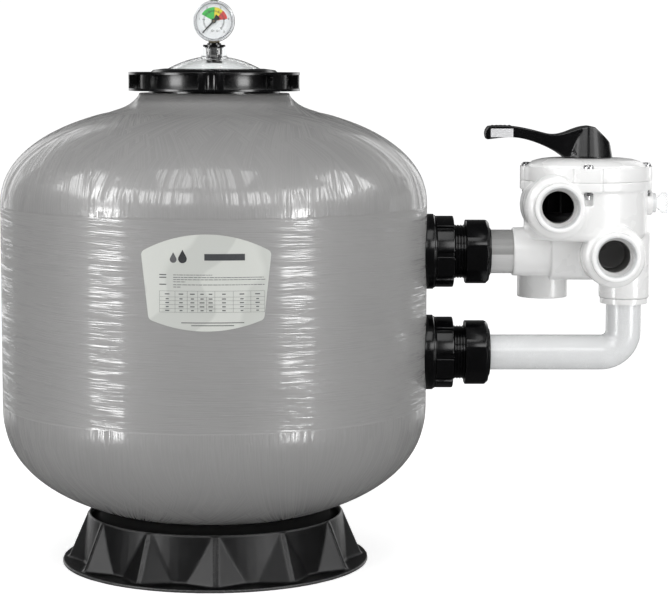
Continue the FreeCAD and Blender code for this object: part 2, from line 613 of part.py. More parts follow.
def make_valve_body():
    """Moulded valve body: chamber above, three pipe sockets and two front ports."""
    centre = V(VALVE_X, 0, 0)
    bowl = revolve([(0, 462.0), (VALVE_R - 8.0, 462.0), (VALVE_R - 2.5, 464.5), (VALVE_R, 470.0),
                    (VALVE_R, 536.0), (0, 536.0)], centre)
    body = bowl.fuse(lug_ring(NUT_TOP_Z, BODY_TOP_Z))
    solids = [revolve([(0, 421.0), (32.8, 421.0), (34.3, 422.5), (34.3, 505.0), (0, 505.0)],
                      V(0, 0, UPPER_Z), X_AXIS)]
    solids.append(rod(40.0, 474.0, RISER_X, V(0, 0, UPPER_Z), X_AXIS))
    solids.append(revolve([(0, WASTE_END_Z), (34.7, WASTE_END_Z), (36.2, WASTE_END_Z + 1.5), (36.2, 470.0),
                           (0, 470.0)], V(WASTE_X, WASTE_Y, 0)))
    solids.append(revolve([(0, 377.0), (34.2, 377.0), (35.7, 378.5), (35.7, 470.0), (0, 470.0)],
                          V(RISER_X, 0, 0)))
    solids.append(port_boss(PUMP_X, PUMP_Z, 45.5))
    solids.append(port_boss(RETURN_X, UPPER_Z, 44.0))
    solids.append(rod(17.0, 520.0, 619.0, V(0, 0, SIGHT_Z), X_AXIS))
    for solid in solids:
        body = body.fuse(solid)
    lid_room = rod(LUG_R + 0.5, BODY_TOP_Z, LID_TOP_Z + 5.0, centre)
    return cut_all(body, [lid_room] + valve_passages())


def valve_passages():
    """Hollows of the valve body, each from its port to the chamber floor."""
    depth = -PORT_FACE_Y
    thread_end = depth - 24.0
    cuts = [rod(CHAMBER_R, FLOOR_Z, BODY_TOP_Z + 5.0, V(VALVE_X, 0, 0))]
    for x, z, inner_end in ((PUMP_X, PUMP_Z, 25.0), (RETURN_X, UPPER_Z, 27.0)):
        cuts.append(rod(PORT_THREAD_R, thread_end, depth + 5.0, V(x, 0, z), -Y_AXIS))
        cuts.append(rod(PORT_BORE_R, inner_end, depth, V(x, 0, z), -Y_AXIS))
    cuts.append(rod(13.0, UPPER_Z, FLOOR_Z + 5.0, V(RETURN_X, -41.0, 0)))
    cuts.append(rod(STUB_R + HUG, 410.0, 443.0, V(0, 0, UPPER_Z), X_AXIS))
    cuts.append(rod(24.0, 440.0, 500.0, V(0, 0, UPPER_Z), X_AXIS))
    cuts.append(rod(15.0, UPPER_Z, FLOOR_Z + 5.0, V(VALVE_X - 45.0, 0, 0)))
    cuts.append(rod(PORT_THREAD_R, WASTE_END_Z - 5.0, WASTE_END_Z + 24.0, V(WASTE_X, WASTE_Y, 0)))
    cuts.append(rod(20.0, WASTE_END_Z, 458.0, V(WASTE_X, WASTE_Y, 0)))
    cuts.append(rod(13.0, 450.0, FLOOR_Z + 5.0, V(VALVE_X - 36.0, 37.0, 0)))
    cuts.append(rod(PIPE_R + HUG, 370.0, 401.0, V(RISER_X, 0, 0)))
    cuts.append(rod(21.0, 395.0, 450.0, V(RISER_X, 0, 0)))
    cuts.append(rod(13.0, 430.0, FLOOR_Z + 5.0, V(VALVE_X + 50.0, 3.0, 0)))
    cuts.append(rod(7.0, 590.0, 625.0, V(0, 0, SIGHT_Z), X_AXIS))
    cuts.append(tube(78.6, 75.4, BODY_TOP_Z - 3.0, BODY_TOP_Z + 5.0, V(VALVE_X, 0, 0)))
    for where in screw_places():
        cuts.append(rod(SCREW_R + 0.3, 515.0, 560.0, where))
        cuts.append(rod(NUT_R + 0.9, 512.0, NUT_TOP_Z, where))
    return cuts


def make_valve_lid():
    """Cover with a low dome, hollow below, with a guide for the stem."""
    centre = V(VALVE_X, 0, 0)
    edge = lug_ring(BODY_TOP_Z + 0.2, LID_EDGE_Z - 2.5)
    crown = revolve([(0, BODY_TOP_Z + 0.2), (84.0, BODY_TOP_Z + 0.2), (84.0, 562.0), (82.0, 566.5),
                     (76.0, 570.5), (66.0, 573.4), (56.0, 574.6), (46.0, LID_TOP_Z), (0, LID_TOP_Z)], centre)
    hollow = revolve([(16.0, BODY_TOP_Z - 1.0), (70.0, BODY_TOP_Z - 1.0), (70.0, 558.0), (64.0, 563.0),
                      (16.0, 563.0)], centre)
    lid = edge.fuse(crown).cut(hollow).cut(rod(STEM_R + RUN_FIT, 500.0, 600.0, centre))
    for where in screw_places():
        lid = lid.cut(rod(SCREW_R + 0.3, 500.0, 600.0, where))
        lid = lid.cut(rod(7.8, LID_EDGE_Z - 2.5, 600.0, where))
    return lid


def make_rotor():
    """Diverter disc and its stem, with a through port and a linking pocket below."""
    centre = V(VALVE_X, 0, 0)
    disc = revolve([(0, 480.6), (ROTOR_R - 1.0, 480.6), (ROTOR_R, 481.6), (ROTOR_R, 496.0),
                    (ROTOR_R - 4.0, 500.0), (0, 500.0)], centre)
    disc = disc.cut(rod(14.0, 470.0, 510.0, V(VALVE_X - 45.0, 0, 0)))
    first, second = V(VALVE_X + 50.0, 3.0, 480.0), V(RETURN_X, -41.0, 480.0)
    pocket = Part.makeCylinder(13.0, 13.0, first).fuse(Part.makeCylinder(13.0, 13.0, second))
    link = box(0.0, (second - first).Length, -10.0, 10.0, 0.0, 13.0)
    angle = math.degrees(math.atan2(second.y - first.y, second.x - first.x))
    link.rotate(V(0, 0, 0), Z_AXIS, angle)
    link.translate(first)
    disc = disc.cut(pocket.fuse(link))
    stem = rod(STEM_R, 490.0, LID_TOP_Z, centre)
    grooves = [tube(STEM_R + 5.0, 9.9, z - 1.2, z + 1.2, centre) for z in (567.0, 571.0)]
    stem = cut_all(stem, grooves)
    tongue = box(PIN_X, VALVE_X + 9.5, -6.5, 6.5, LID_TOP_Z - 1.0, PIN_Z + 6.0)
    nose = rod(5.9, -6.5, 6.5, V(PIN_X, 0, PIN_Z), Y_AXIS)
    tongue = tongue.cut(box(PIN_X - 10.0, VALVE_X - 10.0, -9.0, 9.0, LID_TOP_Z - 3.0, LID_TOP_Z + 0.4))
    rotor = disc.fuse(stem).fuse(tongue).fuse(nose)
    vane = box(VALVE_X + VANE_START, VALVE_X + VANE_END, -1.5, 1.5, 499.0, VANE_TOP_Z)
    for copy in around(vane, VANE_COUNT, centre, Z_AXIS, VANE_TURN_DEG):
        rotor = rotor.fuse(copy)
    rotor = rotor.cut(rod(PIN_R + RUN_FIT, -20.0, 20.0, V(PIN_X, 0, PIN_Z), Y_AXIS))
    return rotor.removeSplitter()


def make_spider():
    """Flat seal on the chamber floor, with spokes between the ports."""
    centre = V(VALVE_X, 0, 0)
    seal_top = FLOOR_Z + 2.3
    seal = tube(72.0, 65.0, FLOOR_Z, seal_top, centre).fuse(tube(15.0, 9.0, FLOOR_Z, seal_top, centre))
    spoke = box(VALVE_X + 12.0, VALVE_X + 67.0, -2.5, 2.5, FLOOR_Z, FLOOR_Z + 2.3)
    for angle in (30.0, 90.0, 157.0, 213.0, 270.0, 336.0):
        copy = spoke.copy()
        copy.rotate(centre, Z_AXIS, angle)
        seal = seal.fuse(copy)
    return seal.removeSplitter()


def make_spring():
    """Coil spring that holds the diverter down on its seal."""
    wire_r = SPRING_WIRE_R
    rise = SPRING_Z1 - SPRING_Z0 - 2 * wire_r
    helix = Part.makeHelix(rise / SPRING_TURNS, rise, SPRING_COIL_R)
    section = Part.Wire(Part.makeCircle(wire_r, V(SPRING_COIL_R, 0, 0), Y_AXIS))
    coil = Part.Wire(helix).makePipeShell([section], True, True)
    coil.translate(V(VALVE_X, 0, SPRING_Z0 + wire_r))
    return coil


def handle_outline():
    """Side outline of the handle as a closed wire."""
    top = [(386.0, 619.6), (400.0, 620.6), (420.0, 619.6), (440.0, 616.4), (460.0, 611.6), (478.0, 608.2)]
    top += [(492.0, 610.4), (508.0, 616.0), (524.0, 619.6)]
    low = [(383.5, 600.8), (400.0, 602.9), (417.0, 604.0), (436.0, 601.6), (456.0, 595.4), (474.0, 587.6)]
    low.append((493.0, LID_TOP_Z + 0.3))
    edges = [smooth(top), Part.Arc(V(524.0, 0, 619.6), V(529.5, 0, 619.9), V(534.5, 0, 618.4)).toShape()]
    corners = [V(534.5, 0, 618.4), V(556.5, 0, 597.6), V(560.5, 0, 586.0), V(561.5, 0, LID_TOP_Z + 0.3)]
    corners.append(V(493.0, 0, LID_TOP_Z + 0.3))
    edges += [Part.makeLine(a, b) for a, b in zip(corners, corners[1:])]
    edges.append(smooth(low[::-1]))
    edges.append(Part.Arc(V(383.5, 0, 600.8), V(381.0, 0, 611.0), V(386.0, 0, 619.6)).toShape())
    return Part.Wire(edges)


def make_handle():
    """Lever with a hollow cam hub, finger ridges and a pin hole."""
    slab = Part.Face(handle_outline()).extrude(V(0, 80, 0))
    slab.translate(V(0, -40, 0))
    hub = Part.makeCone(35.0, 27.0, 46.0, V(527.0, 0, LID_TOP_Z + 0.2))
    side = [(379.0, 14.0), (450.0, 14.0), (490.0, 19.0), (515.0, 26.0)]
    plan = [V(x, -y, 570.0) for x, y in side] + [V(x, y, 570.0) for x, y in side[::-1]]
    plan.append(plan[0])
    lever = Part.Face(Part.makePolygon(plan)).extrude(V(0, 0, 60))
    handle = slab.common(hub.fuse(lever))
    ridges = [rod(1.3, -9.0, 9.0, V(x, 0, 619.9), Y_AXIS) for x in (392.0, 398.0, 404.0, 410.0, 416.0)]
    for ridge in ridges:
        handle = handle.fuse(ridge)
    room = box(496.6, 543.0, -7.0, 7.0, LID_TOP_Z - 5.0, 594.0)
    stem_room = rod(STEM_R + 1.0, LID_TOP_Z - 5.0, LID_TOP_Z + 2.5, V(VALVE_X, 0, 0))
    hole = rod(PIN_R, -40.0, 40.0, V(PIN_X, 0, PIN_Z), Y_AXIS)
    return cut_all(handle, [room, stem_room, hole] + make_badge(HUG))


def make_badge(slack):
    """Pale inlays on both sides of the lever's end."""
    inlays = []
    for side in (-1.0, 1.0):
        inlay = box(388.5 - slack, 420.0 + slack, 13.0 - slack, 15.0, 604.2 - slack, 616.2 + slack)
        if side < 0:
            inlay = inlay.mirror(V(0, 0, 0), Y_AXIS)
        inlays.append(inlay)
    return inlays


def make_valve_parts(parts):
    """Every piece of the selector valve."""
    centre = V(VALVE_X, 0, 0)
    parts["valve_body"] = make_valve_body()
    parts["valve_lid"] = make_valve_lid()
    parts["valve_lid_seal"] = torus(77.0, 1.5, BODY_TOP_Z - 1.45, centre)
    parts["spider_seal"] = make_spider()
    parts["rotor"] = make_rotor()
    parts["stem_seals"] = Part.makeCompound([torus(10.95, 1.0, z, centre) for z in (567.0, 571.0)])
    parts["thrust_washer"] = tube(26.0, STEM_R + 0.4, 500.2, 502.4, centre)
    parts["valve_spring"] = make_spring()
    parts["handle"] = make_handle()
    half_pin = 24.0
    parts["handle_pin"] = rod(PIN_R, -half_pin, half_pin, V(PIN_X, 0, PIN_Z), Y_AXIS)
    parts["handle_badge"] = Part.makeCompound(make_badge(0.0))
    heads, nuts = [], []
    for where in screw_places():
        head = revolve([(0, 563.6), (7.4, 563.6), (7.4, 566.0), (5.6, 568.4), (0, 569.0)], where)
        shank = rod(SCREW_R, 521.0, 564.0, where)
        cross = [box(where.x - 4.0, where.x + 4.0, where.y - 0.6, where.y + 0.6, 566.8, 572.0)]
        cross.append(box(where.x - 0.6, where.x + 0.6, where.y - 4.0, where.y + 4.0, 566.8, 572.0))
        heads.append(cut_all(head.fuse(shank), cross))
        hexagon = []
        for k in range(7):
            angle = k * math.pi / 3
            hexagon.append(V(NUT_R * math.cos(angle), NUT_R * math.sin(angle), NUT_TOP_Z - 5.1) + where)
        nut = Part.Face(Part.makePolygon(hexagon)).extrude(V(0, 0, 5.0))
        nuts.append(nut.cut(rod(SCREW_R + HUG, 510.0, 540.0, where)))
    parts["lid_screws"] = Part.makeCompound(heads)
    parts["lid_nuts"] = Part.makeCompound(nuts)
    base = V(0, 0, SIGHT_Z)
    parts["sight_seal"] = tube(13.6, 8.2, 619.0, 624.0, base, X_AXIS)
    parts["sight_glass"] = revolve([(0, 606.0), (6.9, 606.0), (6.9, 619.0), (8.1, 619.1), (8.1, 626.5),
                                    (14.3, 633.5), (14.3, 640.5), (0, 640.5)], base, X_AXIS)


def main():
    """Build every piece and write one STEP file each."""
    parts = {}
    parts["tank_base"] = make_base()
    parts["tank_shell"] = make_shell()
    parts["label"] = make_label()
    parts["neck_insert"] = make_neck_insert()
    parts["lid_seal"] = torus(83.0, 1.8, NECK_RIM_Z - 1.8)
    parts["lid_dome"] = make_lid()
    parts["lock_ring"] = make_lock_ring()
    make_gauge_parts(parts)
    make_fitting(parts, "upper", UPPER_Z, STUB_R + HUG)
    make_fitting(parts, "lower", LOWER_Z, PIPE_R + HUG)
    make_inner_plumbing(parts)
    make_drain(parts)
    stub_start = FITTING_END_X + 6.2
    parts["upper_stub"] = tube(STUB_R, STUB_R - 3.0, stub_start, 442.8, V(0, 0, UPPER_Z), X_AXIS)
    parts["return_pipe"] = make_pipe(PIPE_R, PIPE_WALL, V(stub_start, 0, LOWER_Z),
                                     V(RISER_X, 0, LOWER_Z), V(RISER_X, 0, 400.5), BEND_R)
    parts["return_ring"] = tube(33.8, PIPE_R + HUG, 369.0, 376.6, V(RISER_X, 0, 0))
    make_valve_parts(parts)
    os.makedirs("parts", exist_ok=True)
    for name, shape in parts.items():
        shape.exportStep("parts/" + name + ".step")
        print(name, len(shape.Solids), round(shape.Volume), shape.isValid())


main()
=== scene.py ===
import json
import math
import random

import bmesh
import bpy
from mathutils import Matrix, Quaternion, Vector


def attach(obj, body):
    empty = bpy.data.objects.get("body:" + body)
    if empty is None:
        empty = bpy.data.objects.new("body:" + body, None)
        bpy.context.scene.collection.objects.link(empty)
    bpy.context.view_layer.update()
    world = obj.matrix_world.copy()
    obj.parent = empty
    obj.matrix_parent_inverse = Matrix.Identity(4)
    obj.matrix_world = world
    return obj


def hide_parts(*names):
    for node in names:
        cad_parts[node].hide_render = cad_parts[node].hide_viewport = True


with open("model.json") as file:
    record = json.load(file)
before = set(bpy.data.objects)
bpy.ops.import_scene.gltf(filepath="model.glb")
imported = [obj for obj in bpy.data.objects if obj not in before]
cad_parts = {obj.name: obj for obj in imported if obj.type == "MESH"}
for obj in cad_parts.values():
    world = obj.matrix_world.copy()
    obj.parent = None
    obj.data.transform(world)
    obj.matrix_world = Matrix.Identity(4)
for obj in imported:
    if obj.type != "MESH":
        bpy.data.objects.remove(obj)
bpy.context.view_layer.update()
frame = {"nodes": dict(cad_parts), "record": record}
NODES = frame["nodes"]
SLOT_OF = {part["node"]: part["material_slot"] for part in frame["record"]["subparts"]}

MM = 0.001

# The tank, in metres: its barrel, and the circle around the neck that the winding touches.
BARREL_R = 0.300
BARREL_LOW, BARREL_HIGH = 0.230, 0.508
NECK_R = 0.104

# The valve, in millimetres: its axis and chamber, the bores and threads of its ports, the grey pipe's axis.
VALVE_X = 525.0
CHAMBER_R, CHAMBER_LOW, CHAMBER_HIGH = 75.0, 476.5, 544.0
BORE_R, THREAD_R = 23.3, 28.5
GREY_PIPE_Z = 440.0

# The open ports: the centre of the mouth in millimetres, and the way in.
PORTS = {
    "pump": ((477.0, -105.0, 510.0), (0.0, 1.0, 0.0)),
    "return": ((556.0, -105.0, 442.0), (0.0, 1.0, 0.0)),
    "waste": ((471.0, 56.0, 372.0), (0.0, 0.0, 1.0)),
}


# ---------------------------------------------------------------- shader helpers

class NodeTree:
    """Node tree built up with short calls; a value is a number or the output of another node."""

    def __init__(self, tree):
        self.tree = tree

    def add(self, kind, **settings):
        node = self.tree.nodes.new(kind)
        for key, value in settings.items():
            setattr(node, key, value)
        return node

    def feed(self, socket, value):
        if isinstance(value, bpy.types.NodeSocket):
            self.tree.links.new(value, socket)
        else:
            socket.default_value = value

    def math(self, operation, *values):
        node = self.add("ShaderNodeMath", operation=operation)
        for socket, value in zip(node.inputs, values):
            self.feed(socket, value)
        return node.outputs[0]

    def plus(self, first, second):
        return self.math("ADD", first, second)

    def times(self, first, second):
        return self.math("MULTIPLY", first, second)

    def length(self, x, y):
        return self.math("SQRT", self.plus(self.times(x, x), self.times(y, y)))

    def place(self):
        """Position on the surface, in the part's frame."""
        return self.add("ShaderNodeTexCoord").outputs["Object"]

    def axes(self, vector):
        node = self.add("ShaderNodeSeparateXYZ")
        self.feed(node.inputs[0], vector)
        return node.outputs

    def vector(self, x, y, z=0.0):
        node = self.add("ShaderNodeCombineXYZ")
        for socket, value in zip(node.inputs, (x, y, z)):
            self.feed(socket, value)
        return node.outputs[0]

    def noise(self, vector, scale, detail=2.0, rough=0.5):
        node = self.add("ShaderNodeTexNoise")
        self.feed(node.inputs["Vector"], vector)
        node.inputs["Scale"].default_value = scale
        node.inputs["Detail"].default_value = detail
        node.inputs["Roughness"].default_value = rough
        return node.outputs["Fac"]

    def spread(self, value, low, high, to_low=0.0, to_high=1.0):
        """Soft step from one value to another between two limits."""
        node = self.add("ShaderNodeMapRange", interpolation_type="SMOOTHSTEP")
        for socket, number in zip(node.inputs, (value, low, high, to_low, to_high)):
            self.feed(socket, number)
        return node.outputs[0]

    def above(self, value, limit, soft):
        """One above a limit and nought below it, with a soft step between."""
        return self.spread(value, limit - soft, limit + soft)

    def below(self, value, limit, soft):
        """One below a limit and nought above it, with a soft step between."""
        return self.spread(value, limit + soft, limit - soft)

    def blend(self, factor, first, second):
        node = self.add("ShaderNodeMix", data_type="FLOAT")
        self.feed(node.inputs[0], factor)
        self.feed(node.inputs[2], first)
        self.feed(node.inputs[3], second)
        return node.outputs[0]

    def tint(self, factor, first, second):
        node = self.add("ShaderNodeMix", data_type="RGBA")
        self.feed(node.inputs[0], factor)
        self.feed(node.inputs[6], first)
        self.feed(node.inputs[7], second)
        return node.outputs[2]


class Shader(NodeTree):
    """Material with one Principled surface."""

    def __init__(self, name):
        self.material = bpy.data.materials.new(name)
        self.material.use_nodes = True
        super().__init__(self.material.node_tree)
        self.bsdf = self.tree.nodes["Principled BSDF"]

    def set(self, **sockets):
        for key, value in sockets.items():
            self.feed(self.bsdf.inputs[key.replace("_", " ")], value)

    def bump(self, height, strength, distance):
        node = self.add("ShaderNodeBump")
        node.inputs["Strength"].default_value = strength
        node.inputs["Distance"].default_value = distance
        self.feed(node.inputs["Height"], height)
        self.set(Normal=node.outputs[0])


def grey(value, warm=0.0):
    """Neutral colour with a slight warm lean."""
    return (value * (1.0 + warm), value, value * (1.0 - warm), 1.0)


def opaque(colour, factor=1.0):
    """Colour with its brightness scaled and full alpha."""
    return tuple(min(1.0, channel * factor) for channel in colour) + (1.0,)


# ---------------------------------------------------------------- materials

# Cycles per metre of the winding's noise. On the domes they count across and along the strands, and on the
# barrel around it and up it.
DOME_STRANDS, DOME_TOWS = (430.0, 16.0), (85.0, 9.0)
BARREL_STRANDS, BARREL_TOWS = (15.0, 640.0), (6.0, 130.0)
BARREL_SWAY = (4.0, 7.0)


def streaks(s, u, v, cycles, seed, detail=2.0, rough=0.5):
    """Noise drawn out along one of two directions."""
    return s.noise(s.vector(s.times(u, cycles[0]), s.times(v, cycles[1]), seed), 1.0, detail, rough)


def dome_strands(s, x, y, z, sense, side):
    """Strands and tows of one winding direction on the domes: straight lines tangent to the neck."""
    radius = s.math("MAXIMUM", s.length(x, y), NECK_R * 1.002)
    swing = s.math("ARCCOSINE", s.math("DIVIDE", NECK_R, radius))
    start = s.plus(s.math("ARCTAN2", x, y), s.times(swing, sense))
    across, along = s.times(start, BARREL_R), s.plus(radius, s.times(z, side))
    return (streaks(s, across, along, DOME_STRANDS, sense, rough=0.6),
            streaks(s, across, along, DOME_TOWS, sense))


def barrel_strands(s, arc, z, seed):
    """Level strands and tows on the barrel, with a slight climb and sway."""
    sway = streaks(s, arc, z, BARREL_SWAY, seed, detail=1.0)
    level = s.plus(z, s.plus(s.times(arc, 0.02), s.times(sway, 0.012)))
    return (streaks(s, arc, level, BARREL_STRANDS, seed, rough=0.7),
            streaks(s, arc, level, BARREL_TOWS, seed))


def winding_heights(s, place, on_barrel):
    """Heights of strands and tows, worked out from the front and from the back and joined at the sides."""
    x, y, z = s.axes(place)
    front = s.below(y, 0.0, 0.04)
    side = s.spread(z, 0.36, 0.38, -1.0, 1.0)
    patches = s.noise(place, 13.0, 2.0, 0.6)
    halves = []
    for turn in (1.0, -1.0):
        turned_x, turned_y = s.times(x, turn), s.times(y, -turn)
        one_way = dome_strands(s, turned_x, turned_y, z, 1.0, side)
        other_way = dome_strands(s, turned_x, turned_y, z, -1.0, side)
        on_top = s.spread(s.plus(patches, s.times(one_way[1], 0.25)), 0.59, 0.65)
        arc = s.times(s.math("ARCTAN2", turned_x, turned_y), BARREL_R)
        domes = [s.blend(on_top, one, other) for one, other in zip(one_way, other_way)]
        level = barrel_strands(s, arc, z, turn)
        halves.append([s.blend(on_barrel, dome, barrel) for dome, barrel in zip(domes, level)])
    return [s.blend(front, back_half, front_half) for front_half, back_half in zip(*halves)]


def wound_fibre():
    """Resin-glossed wound fibreglass: crossing strands on the domes, level strands on the barrel, painted
    shade low down.
    """
    s = Shader("wound_fibreglass")
    place = s.place()
    z = s.axes(place)[2]
    on_barrel = s.times(s.above(z, BARREL_LOW - 0.5 * MM, 1.5 * MM),
                        s.below(z, BARREL_HIGH + 0.5 * MM, 1.5 * MM))
    fine, tow = winding_heights(s, place, on_barrel)
    cloud = s.noise(place, 6.0, 3.0, 0.55)
    shade = s.plus(s.times(fine, 0.5), s.times(tow, 0.5))
    base = s.tint(s.spread(shade, 0.30, 0.70), grey(0.276, 0.010), grey(0.304, 0.006))
    base = s.tint(s.spread(cloud, 0.35, 0.75, 0.0, 0.10), base, grey(0.20))
    base = s.tint(s.spread(fine, 0.70, 0.80, 0.0, 0.35), base, grey(0.55))
    # painted shade: darker towards the bottom of the lower dome
    base = s.tint(s.spread(z, 0.20, 0.10, 0.0, 0.25), base, grey(0.15))
    resin = s.plus(s.times(fine, 0.65), s.times(tow, 0.35))
    resin = s.spread(resin, s.blend(on_barrel, 0.45, 0.515), s.blend(on_barrel, 0.56, 0.575))
    s.set(Base_Color=base, Roughness=s.blend(resin, 0.50, 0.34), IOR=1.45)
    s.set(Coat_Weight=s.blend(resin, 0.06, 1.0), Coat_Roughness=s.blend(resin, 0.30, 0.075), Coat_IOR=1.6)
    relief = s.plus(s.times(fine, 0.35), s.times(tow, s.blend(on_barrel, 1.0, 0.28)))
    s.bump(relief, 1.0, 0.85 * MM)
    return s.material


def valve_plastic(name, colour):
    """White moulded plastic of the valve, with painted shade in its bores, at its port rims and in its
    chamber.
    """
    s = Shader(name)
    place = s.place()
    x, y, z = s.axes(place)
    skin = s.noise(place, 900.0, 2.0, 0.6)
    flow = s.noise(place, 12.0, 3.0, 0.6)
    base = s.tint(s.spread(flow, 0.3, 0.7), opaque(colour, 0.975), opaque(colour))
    for port_x, mouth_y, port_z in (PORTS["pump"][0], PORTS["return"][0]):
        reach = s.length(s.math("SUBTRACT", x, port_x * MM), s.math("SUBTRACT", z, port_z * MM))
        # painted shade: near-black deep inside each port's bore
        bore_shade = s.times(s.below(reach, BORE_R * MM, 0.7 * MM), s.above(y, (mouth_y + 26.0) * MM, 5.0 * MM))
        base = s.tint(bore_shade, base, grey(0.012))
        # painted shade: grey on the threaded rim just inside each mouth
        rim_shade = s.times(s.below(reach, (THREAD_R - 0.1) * MM, 0.4 * MM),
                      s.above(y, (mouth_y + 2.5) * MM, 2.0 * MM))
        base = s.tint(s.times(rim_shade, 0.45), base, grey(0.40, 0.02))
    reach = s.length(s.math("SUBTRACT", x, VALVE_X * MM), y)
    # painted shade: dark inside the chamber
    chamber = s.times(s.below(z, CHAMBER_HIGH * MM, 0.5 * MM), s.above(z, CHAMBER_LOW * MM, 0.5 * MM))
    chamber = s.times(chamber, s.below(reach, CHAMBER_R * MM, 0.5 * MM))
    chamber = s.times(chamber, s.above(y, -73.0 * MM, 3.0 * MM))
    base = s.tint(chamber, base, grey(0.03))
    s.set(Base_Color=base, Roughness=s.spread(flow, 0.3, 0.7, 0.24, 0.34))
    s.set(Coat_Weight=0.3, Coat_Roughness=0.08)
    s.bump(s.plus(skin, s.times(s.noise(place, 60.0, 2.0, 0.5), 2.0)), 0.5, 0.12 * MM)
    return s.material


def two_tone_pipe():
    """Grey pressure pipe with painted shade darkening its upper half, and fine drawing lines along it."""
    s = Shader("pipe_grey")
    x, y, z = s.axes(s.place())
    lines = s.noise(s.vector(s.times(x, 30.0), s.times(y, 700.0), s.times(z, 700.0)), 1.0)
    # painted shade: the upper half, above the axis, is darker
    upper = s.above(z, GREY_PIPE_Z * MM, 0.5 * MM)
    base = s.tint(upper, (0.66, 0.66, 0.655, 1.0), (0.345, 0.345, 0.34, 1.0))
    s.set(Base_Color=s.tint(s.spread(lines, 0.3, 0.7, 0.0, 0.10), base, grey(0.2)))
    s.set(Roughness=s.spread(lines, 0.3, 0.7, 0.26, 0.36))
    s.bump(lines, 0.3, 0.1 * MM)
    return s.material


def moulded(name, colour, roughness, grain=900.0, depth=0.12 * MM, coat=0.0, mottle=0.12, specular=0.5,
            ridge_highlight=None, shade_pit=None):
    """Moulded plastic: fine skin texture, faint flow mottling and small changes of gloss.

    A painted highlight colour shows on edges that stand out, and a shade pit, a radius and a height around
    the tank's axis, is a trough that no light reaches, painted black and dull as its shade.
    """
    s = Shader(name)
    place = s.place()
    skin = s.noise(place, grain, 2.0, 0.6)
    flow = s.noise(place, 14.0, 4.0, 0.6)
    base = s.tint(s.spread(flow, 0.3, 0.7), opaque(colour, 1.0 - mottle), opaque(colour, 1.0 + mottle))
    # painted highlight: edges that stand out take a paler colour
    if ridge_highlight is not None:
        edge = s.add("ShaderNodeNewGeometry").outputs["Pointiness"]
        base = s.tint(s.spread(edge, 0.512, 0.57), base, ridge_highlight)
    gloss = s.plus(s.times(flow, 0.6), s.times(skin, 0.4))
    rough = s.spread(gloss, 0.3, 0.7, roughness * 0.8, roughness * 1.25)
    # painted shade: black and dull inside the trough
    if shade_pit is not None:
        pit_r, pit_z = shade_pit
        x, y, z = s.axes(place)
        within = s.times(s.below(s.length(x, y), pit_r, 1.5 * MM), s.above(z, pit_z, 1.0 * MM))
        base = s.tint(within, base, grey(0.0))
        rough = s.blend(within, rough, 0.95)
    s.set(Base_Color=base, Roughness=rough)
    s.set(Coat_Weight=coat, Coat_Roughness=0.06, Specular_IOR_Level=specular)
    s.bump(s.plus(skin, s.times(s.noise(place, 55.0, 2.0, 0.5), 1.4)), 0.5, depth)
    return s.material


def clear_plastic():
    """Clear moulded plastic with faint flow waves."""
    s = Shader("clear_moulding")
    waves = s.noise(s.place(), 38.0)
    s.set(Base_Color=(0.97, 0.985, 0.985, 1.0), Transmission_Weight=1.0, IOR=1.08)
    s.set(Roughness=s.spread(waves, 0.2, 0.8, 0.015, 0.05), Coat_Weight=0.8, Coat_Roughness=0.03)
    s.bump(waves, 0.25, 0.6 * MM)
    return s.material


def brushed(name, colour, roughness):
    """Turned metal with fine tool marks."""
    s = Shader(name)
    x, y, z = s.axes(s.place())
    marks = s.noise(s.vector(s.times(x, 120.0), s.times(y, 120.0), s.times(z, 2600.0)), 1.0, 2.0, 0.6)
    s.set(Base_Color=s.tint(marks, opaque(colour, 0.8), opaque(colour)), Metallic=1.0)
    s.set(Roughness=s.spread(marks, 0.2, 0.8, roughness * 0.7, roughness * 1.3))
    s.bump(marks, 0.3, 0.08 * MM)
    return s.material


def label_film():
    """Silver-grey film with soft slanting paler bands."""
    s = Shader("label_film")
    place = s.place()
    x, y, z = s.axes(place)
    slant = s.plus(s.times(x, 9.0), s.times(z, -3.4))
    band = s.math("FRACT", s.plus(slant, s.times(s.noise(s.vector(x, z), 11.0, 1.0, 0.4), 1.4)))
    pale = s.times(s.spread(band, 0.30, 0.36), s.spread(band, 0.80, 0.70))
    fibre = s.noise(place, 1400.0, 2.0, 0.6)
    base = s.tint(pale, (0.56, 0.575, 0.545, 1.0), (0.645, 0.66, 0.625, 1.0))
    base = s.tint(s.spread(fibre, 0.3, 0.7, 0.0, 0.06), base, grey(0.3))
    s.set(Base_Color=base, Roughness=s.spread(fibre, 0.3, 0.7, 0.30, 0.42))
    s.set(Coat_Weight=0.25, Coat_Roughness=0.2)
    s.bump(fibre, 0.2, 0.05 * MM)
    return s.material


def ink(name, colour):
    """Printed ink with slight unevenness."""
    s = Shader(name)
    patch = s.noise(s.place(), 700.0, 2.0, 0.6)
    faded = tuple(channel + (0.5 - channel) * 0.08 for channel in colour) + (1.0,)
    s.set(Base_Color=s.tint(patch, opaque(colour), faded), Roughness=s.spread(patch, 0.3, 0.7, 0.34, 0.46))
    return s.material


